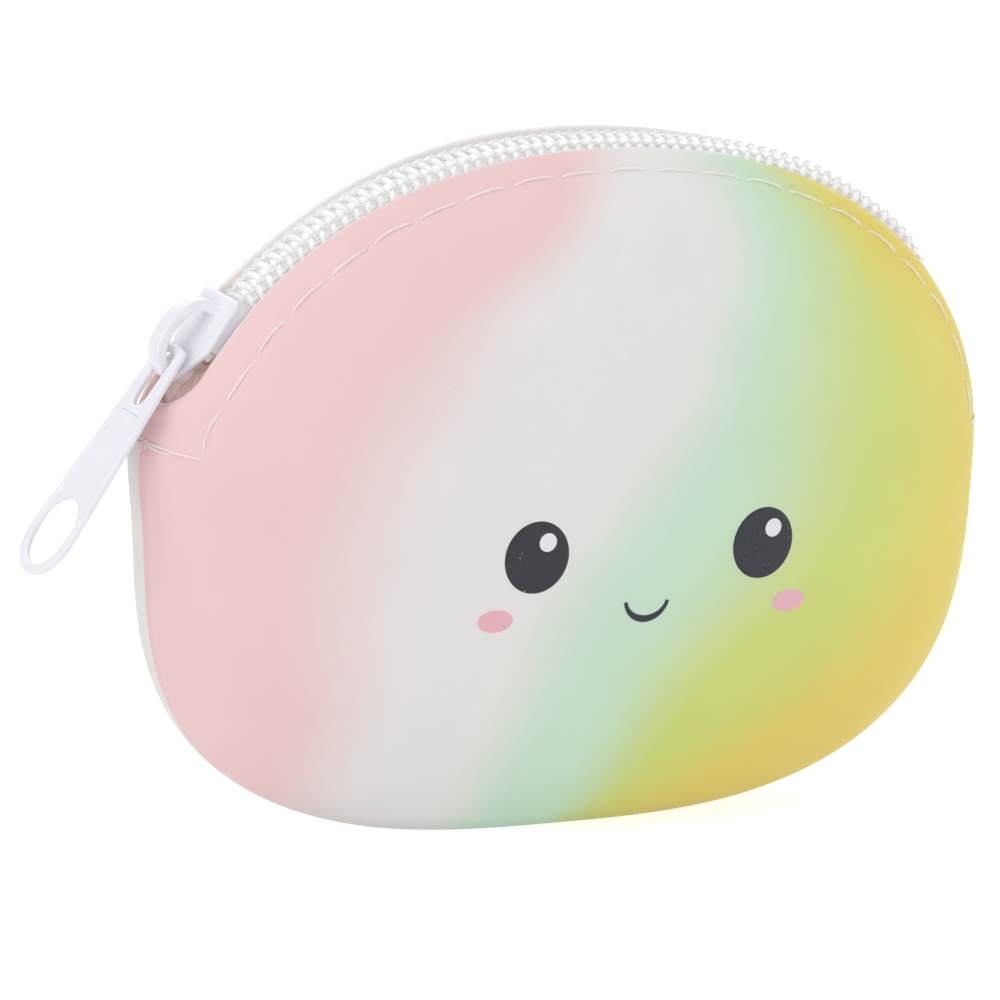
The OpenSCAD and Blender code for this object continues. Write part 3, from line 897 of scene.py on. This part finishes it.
def end_bar(end):
    """The bar of stitches across the slot's end, with its threads side by side."""
    parts = []
    if end < 0:
        # frayed thread ends at the parting line
        for y0, drop, curl in ((-1.0, 1.5, 0.5), (-0.5, 1.0, -0.4), (-1.7, 0.8, 0.3)):
            t = np.linspace(0, 1, 9)
            s = -BAR_S - 0.5 - drop * t
            parts.append(tube_data(skin_at(s, y0 + curl * t * t, 0.02 + 0.25 * np.sin(2.6 * t)), THREAD_R * 0.55, 8,
                                   along(s)[1]))
    spans = [(-7.9, -4.6), (-4.7, -0.4), (-0.2, 3.8), (4.0, 7.8)]
    for k, (a, b) in enumerate(spans):
        for strand in range(1 if k == 0 else 2):
            t = np.linspace(0, 1, 15)
            y = a + (b - a) * t
            arch = np.sin(np.pi * t) ** 0.4
            s = end * (BAR_S + 0.35 + 0.45 * strand + 0.25 * math.sin(3.1 * k + strand) * t)
            parts.append(tube_data(skin_at(s, y, -0.30 + 0.36 * arch), THREAD_R * (0.9 if strand else 1), 10,
                                   along(s + 0 * t)[1]))
    return parts


for side, word in ((-1, "front"), (1, "rear")):
    piece = tubes("Stitches_" + word.capitalize(), stitch_row(side), CLEAR_THREAD)
    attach(piece, "pouch")
    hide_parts("stitch_" + word)
for side, word in ((-1, "left"), (1, "right")):
    piece = tubes("End_Stitches_" + word.capitalize(), end_bar(side), CLEAR_THREAD)
    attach(piece, "pouch")
    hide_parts("end_stitch_" + word)


# ---------------------------------------------------------------- the slider and the pull tab
def slider_frame(points):
    """From the slider's own frame, X to its nose and Z away from the pouch, to the row frame."""
    middle = zip_at(SLIDER_S, 0.0, 0.0)
    t = along(SLIDER_S)[0]
    tilt = math.atan2(t[2], t[0]) + math.radians(SLIDER_LEAN)
    nose = np.array([-math.cos(tilt), 0, -math.sin(tilt)])
    out = np.array([-math.sin(tilt), 0, math.cos(tilt)])
    points = np.asarray(points, float)
    return middle + points[:, :1] * nose + points[:, 1:2] * [0, -1, 0] + points[:, 2:] * out


def slider_outline():
    half_l, half_w = SLIDER_LEN / 2, SLIDER_W / 2
    return hull(circle(half_l - 1.2, 0, 1.2), pair(0.5 - half_l, half_w - 0.5, 0.5, 24),
                pair(SLIDER_LEN * 0.02, half_w - 2.2, 2.2))


def clip_tail(outline, x):
    """The part of a convex outline with X below x."""
    out = []
    for a, b in zip(outline, np.roll(outline, -1, 0)):
        if a[0] <= x:
            out.append(a)
        if (a[0] - x) * (b[0] - x) < 0:
            out.append(a + (b - a) * (x - a[0]) / (b[0] - a[0]))
    return np.array(out)


PLATE_TOP = PLATE_LOW + PLATE_T
BRIDGE_X, BRIDGE_HALF, BRIDGE_H, BRIDGE_T, BRIDGE_W = 0.65, 4.95, 4.1, 1.35, 2.4
BRIDGE_SINK = 0.35      # how far the bridge's feet reach into the plate
ARCH_N = 2.4
POST_X = 3.6


def arch(half, height):
    """The bridge's outline, a little squarer than an ellipse."""
    a = np.radians(np.linspace(0, 180, 48))
    c = np.cos(a)
    square = 2 / ARCH_N
    return np.stack([BRIDGE_X + half * np.sign(c) * np.abs(c) ** square, height * np.sin(a) ** square], 1)


def slider():
    parts = [slab("plate", slider_outline(), PLATE_LOW, PLATE_TOP, 0.28, LACQUER, slider_frame),
             slab("base", slider_outline(), BASE_TOP - PLATE_T, BASE_TOP, 0.28, LACQUER, slider_frame)]
    # flanges that reach down beside the coils
    tail = clip_tail(slider_outline(), -SLIDER_LEN / 2 + 0.56 * SLIDER_LEN)
    for side in (-1, 1):
        edge = np.array([p for p in tail if side * p[1] > 1.5])
        edge = edge[np.argsort(edge[:, 0])]
        inside = edge[::-1] * [1, 0] + [0, side * (SLIDER_W / 2 - 0.75)]
        ring = np.concatenate([edge, inside])
        parts.append(slab("flange", ring, -TAPE_DEPTH + 1, PLATE_LOW + 0.35, 0.12, LACQUER, slider_frame))
    # the post that parts the coils
    post = hull(circle(POST_X - 1.3, 0, 0.4, 16), circle(POST_X + 1, 0, 0.4, 16), circle(POST_X, 0, 0.75, 24))
    parts.append(slab("post", post, BASE_TOP - 0.3, PLATE_LOW + 0.3, 0.05, LACQUER, slider_frame))

    # the arched bridge, standing on the plate
    def upright(points):
        turned = np.stack([points[:, 0], -points[:, 2], PLATE_TOP + points[:, 1]], 1)
        return slider_frame(turned)

    outer = arch(BRIDGE_HALF, BRIDGE_H)
    inner = arch(BRIDGE_HALF - BRIDGE_T, BRIDGE_H - BRIDGE_T)
    sink = np.array([0, BRIDGE_SINK])
    ring = np.concatenate([outer, [outer[-1] - sink], [inner[-1] - sink], inner[::-1], [inner[0] - sink],
                           [outer[0] - sink]])
    parts.append(slab("bridge", ring, -BRIDGE_W / 2, BRIDGE_W / 2, 0.3, LACQUER, upright, edge=5))
    return join("Slider_Body", parts)


PIVOT_X, PIVOT_H, PIVOT_R, TAB_LIFT = 2.3, PLATE_TOP + 1.15, 0.55, 0.75
RING_HALF, RING_WALL = 1.45, 1.35


def tab_frame(points):
    """From the tab's own frame, its pivot at the origin and X to its far end, to the row frame."""
    a = math.radians(TAB_LIFT)
    x = points[:, 0] * math.cos(a) - points[:, 2] * math.sin(a)
    z = points[:, 0] * math.sin(a) + points[:, 2] * math.cos(a)
    return slider_frame(np.stack([PIVOT_X + x, points[:, 1], PIVOT_H + z], 1))


def tab():
    outer = hull(circle(TAB_LEN - TAB_W / 2, 0, TAB_W / 2, 72), pair(0.6, RING_HALF + RING_WALL - 1, 1, 24))
    ring_hole = hull([(x, y) for x in (PIVOT_R - 0.1, 1.5) for y in (-RING_HALF, RING_HALF)],
                     circle(RING_LEN - 1.2, 0, 1.2))
    r = TAB_W / 2 - TAB_RIM
    hole_at = TAB_LEN - TAB_RIM
    hole_start = circle(hole_at - END_HOLE_LEN + r, 0, r, 64)
    end_hole = hull(hole_start, circle(hole_at - r, 0, r, 64))
    start, stop = RING_LEN + 1, hole_at - END_HOLE_LEN / 2
    wide = r + 0.3
    narrow = wide - 1.1
    panel = hull(pair(start + 1, narrow - 1, 1, 32), pair(stop - 1, wide - 1, 1, 32))
    # the rim runs round the ring hole, the panel and the end hole
    lower = end_hole[end_hole[:, 0] > stop]
    lower = lower[np.argsort(np.arctan2(lower[:, 1], lower[:, 0] - stop))]
    upper = panel[panel[:, 0] < stop - 0.9]
    angle = np.arctan2(upper[:, 1], upper[:, 0] - stop) % (2 * np.pi)
    upper = upper[np.argsort(angle)]
    window = np.concatenate([lower, upper])
    # the thinner plate inside the rim keeps just behind the rim's own end of the hole
    plate_hole = hull(hole_start, circle(hole_at - r + 0.15, 0, r + 0.1, 64))
    inner_plate = hull(pair(start + 1, narrow - 0.7, 1, 32), circle(TAB_LEN - TAB_W / 2, 0, TAB_W / 2 - 0.55, 64))
    thin = TAB_T / 2 - 0.18
    parts = [slab("rim", outer, -TAB_T / 2, TAB_T / 2, 0.26, LACQUER, tab_frame, [ring_hole, window], edge=5),
             slab("panel", inner_plate, -thin, thin, 0.1, LACQUER, tab_frame, [plate_hole])]
    # the ring's round end, which hangs in the bridge, and its arms, which flatten into the tab
    a = np.radians(np.linspace(0, 90, 10))
    wide = RING_HALF + 0.62
    bend = np.stack([1.1 - 1.1 * np.sin(a), wide - 1.1 + 1.1 * np.cos(a)], 1)
    arm = np.stack([np.linspace(RING_LEN - 0.6, 1.3, 14), np.linspace(wide + 0.62, wide, 14)], 1)
    half = np.concatenate([arm, bend])
    loop = np.concatenate([half, half[::-1] * [1, -1]])
    loop = np.concatenate([loop, 0 * loop[:, :1]], 1)
    slim = np.interp(loop[:, 0], [0, 1.5, RING_LEN - 0.6], [PIVOT_R, 0.52, 0.30])
    points, faces = tube_data(tab_frame(loop), slim, 20, (0.5, 0, 0.8))
    parts.append(make_mesh("bar", points, faces, LACQUER))
    return join("Pull_Tab", parts)


slider_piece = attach(slider(), "slider")
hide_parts("slider_body")
tab_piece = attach(tab(), "pull")
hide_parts("pull_tab")


# ---------------------------------------------------------------- the printed face
PRINT_EDGE = -0.02      # a print's edge lies this far under the skin, so that it has no step


def print_on(name, x, z, faces, lift, material):
    """A thin print that follows the front face."""
    y = skin_y(x, z) - lift
    piece = make_mesh(name, np.stack([x, y, z], 1), faces, material)
    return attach(piece, "pouch")


def disc(name, cx, cz, rx, rz, lift, material, rings=10, steps=56):
    """An oval print with a faintly domed edge."""
    a = around(steps)
    x, z, depth = [np.array([0.0])], [np.array([0.0])], [np.array([lift])]
    for k in range(1, rings + 1):
        f = k / rings
        x.append(rx * f * np.cos(a))
        z.append(rz * f * np.sin(a))
        depth.append(0 * a + (lift if k < rings else PRINT_EDGE))
    x, z, depth = cx + np.concatenate(x), cz + np.concatenate(z), np.concatenate(depth)
    faces = [(0, 1 + j, 1 + (j + 1) % steps) for j in range(steps)]
    for k in range(rings - 1):
        a0, b0 = 1 + k * steps, 1 + (k + 1) * steps
        faces += [(a0 + j, b0 + j, b0 + (j + 1) % steps, a0 + (j + 1) % steps) for j in range(steps)]
    return print_on(name, x, z, faces, depth, material)


def smile(name, cx, cz, half, drop, thick, lift, material):
    """A curved mouth, thickest in its middle."""
    steps = 40
    t = np.linspace(-1, 1, steps)
    mid_x, mid_z = cx + half * t, cz - drop * np.sqrt(np.maximum(1 - (t * 0.98) ** 2, 0))
    dx, dz = np.gradient(mid_x), np.gradient(mid_z)
    length = np.hypot(dx, dz)
    nx, nz = -dz / length, dx / length
    wide = thick * (0.55 + 0.45 * (1 - t ** 2))
    x, z, depth = [], [], []
    for w, d in ((-1, PRINT_EDGE), (-0.7, lift), (0, lift), (0.7, lift), (1, PRINT_EDGE)):
        x.append(mid_x + nx * wide / 2 * w)
        z.append(mid_z + nz * wide / 2 * w)
        depth.append(d + 0 * t)
    faces = [(k * steps + j, (k + 1) * steps + j, (k + 1) * steps + j + 1, k * steps + j + 1)
             for k in range(4) for j in range(steps - 1)]
    return print_on(name, np.concatenate(x), np.concatenate(z), faces, np.concatenate(depth), material)


FACE_X, FACE_Z = 2.1, 36.0
EYE_OUT, CHEEK_OUT, CHEEK_DOWN, MOUTH_DOWN = 14.6, 19.0, 7.2, 5.4
for side, word in ((-1, "Left"), (1, "Right")):
    cx = FACE_X + side * EYE_OUT
    disc("Eye_" + word, cx, FACE_Z, 4.1, 4.3, 0.05, BLACK_INK)
    disc("Eye_Glint_" + word, cx + 1.2, FACE_Z + 1.7, 1.25, 1.25, 0.08, WHITE_INK, rings=5, steps=32)
    disc("Cheek_" + word, FACE_X + side * CHEEK_OUT, FACE_Z - CHEEK_DOWN, 2.3, 1.4, 0.04, CHEEK_INK,
         rings=6, steps=40)
smile("Mouth", FACE_X, FACE_Z - MOUTH_DOWN, 2.7, 2.6, 0.9, 0.05, BLACK_INK)


# ---------------------------------------------------------------- camera, light and floor
def aim(piece, target):
    direction = Vector(target) - piece.location
    piece.rotation_euler = direction.to_track_quat("-Z", "Y").to_euler()


YAW, TILT, ROLL = 30.219, 14.621, 5.059         # the photograph's angle, in degrees
DISTANCE = 0.7231                               # from the pouch's middle
SHIFT_RIGHT, SHIFT_UP = 0.00990, 0.005833       # where the view points beside the middle, as tangents
LENS = 229.4


def camera():
    yaw, tilt, roll = (math.radians(v) for v in (YAW, TILT, ROLL))
    back = Vector((-math.sin(yaw) * math.cos(tilt), -math.cos(yaw) * math.cos(tilt), math.sin(tilt)))
    right = Vector((math.cos(yaw), -math.sin(yaw), 0))
    up = right.cross(-back)
    look = (-back - SHIFT_RIGHT * right - SHIFT_UP * up).normalized()
    side = math.cos(roll) * right + math.sin(roll) * up
    side = (side - look * side.dot(look)).normalized()
    top = side.cross(look)
    data = bpy.data.cameras.new("Camera")
    data.lens = LENS
    data.sensor_width = 36
    data.clip_start, data.clip_end = 0.05, 20
    cam = add_object("Camera", data)
    cam.matrix_world = Matrix.Translation(Vector((0, 0, MID_Z * MM)) + back * DISTANCE) @ Matrix(
        (side, top, -look)).transposed().to_4x4()
    bpy.context.scene.camera = cam


FLOOR_TONE, FLOOR_GLOW, FLOOR_BOUNCE, WORLD_LIGHT = 0.74, 0.74, 0.11, 0.47


def softbox(name, place, target, size, power):
    data = bpy.data.lights.new(name, "AREA")
    data.shape = "RECTANGLE"
    data.size, data.size_y = size
    data.energy = power
    lamp = add_object(name, data)
    lamp.location = place
    aim(lamp, target)


def floor():
    """A pale floor that keeps a soft shadow and looks white to the camera."""
    half = 3000
    plane = make_mesh("Floor", [(-half, -half, 0), (half, -half, 0), (half, half, 0), (-half, half, 0)], [(0, 1, 2, 3)])
    material = bpy.data.materials.new("Floor_Pale")
    material.use_nodes = True
    tree = material.node_tree
    add, link = tree.nodes.new, tree.links.new
    tree.nodes.clear()
    out = add("ShaderNodeOutputMaterial")
    both = add("ShaderNodeAddShader")
    matt = add("ShaderNodeBsdfDiffuse")
    matt.inputs["Color"].default_value = (FLOOR_TONE, FLOOR_TONE, FLOOR_TONE, 1)
    glow = add("ShaderNodeEmission")
    link(seen_directly(tree, FLOOR_GLOW, FLOOR_BOUNCE), glow.inputs["Strength"])
    link(matt.outputs[0], both.inputs[0])
    link(glow.outputs[0], both.inputs[1])
    link(both.outputs[0], out.inputs["Surface"])
    plane.data.materials.append(material)


def seen_directly(tree, full, otherwise):
    """full for what the camera sees, also in reflections and through glass; otherwise for the light on the part."""
    add, link = tree.nodes.new, tree.links.new
    path = add("ShaderNodeLightPath")
    seen = path.outputs["Is Camera Ray"]
    for other in ("Is Glossy Ray", "Is Transmission Ray"):
        either = add("ShaderNodeMath")
        either.operation = "MAXIMUM"
        link(seen, either.inputs[0])
        link(path.outputs[other], either.inputs[1])
        seen = either.outputs[0]
    level = add("ShaderNodeMapRange")
    level.inputs["To Min"].default_value = otherwise
    level.inputs["To Max"].default_value = full
    link(seen, level.inputs["Value"])
    return level.outputs[0]


def world():
    scene_world = bpy.data.worlds.new("Studio")
    bpy.context.scene.world = scene_world
    scene_world.use_nodes = True
    tree = scene_world.node_tree
    background = tree.nodes["Background"]
    background.inputs["Color"].default_value = (1, 1, 1, 1)
    tree.links.new(seen_directly(tree, 1.0, WORLD_LIGHT), background.inputs["Strength"])


camera()
world()
floor()
middle = (0, 0, 0.04)
softbox("Key", (-0.15, 0.0, 1.0), middle, (1.2, 1.2), 4.4)
softbox("Back", (0.3, 0.95, 0.55), middle, (1.2, 0.5), 2.2)
softbox("Front", (-0.50, -1.00, 0.11), (0, 0, 0.01), (1.2, 0.2), 2.7)
softbox("Left", (-1.00, -0.15, 0.22), middle, (0.7, 0.4), 1.5)
softbox("Right", (1.00, -0.40, 0.13), (0, 0, 0.01), (0.9, 0.24), 2.3)

bpy.context.scene.view_settings.view_transform = "Standard"
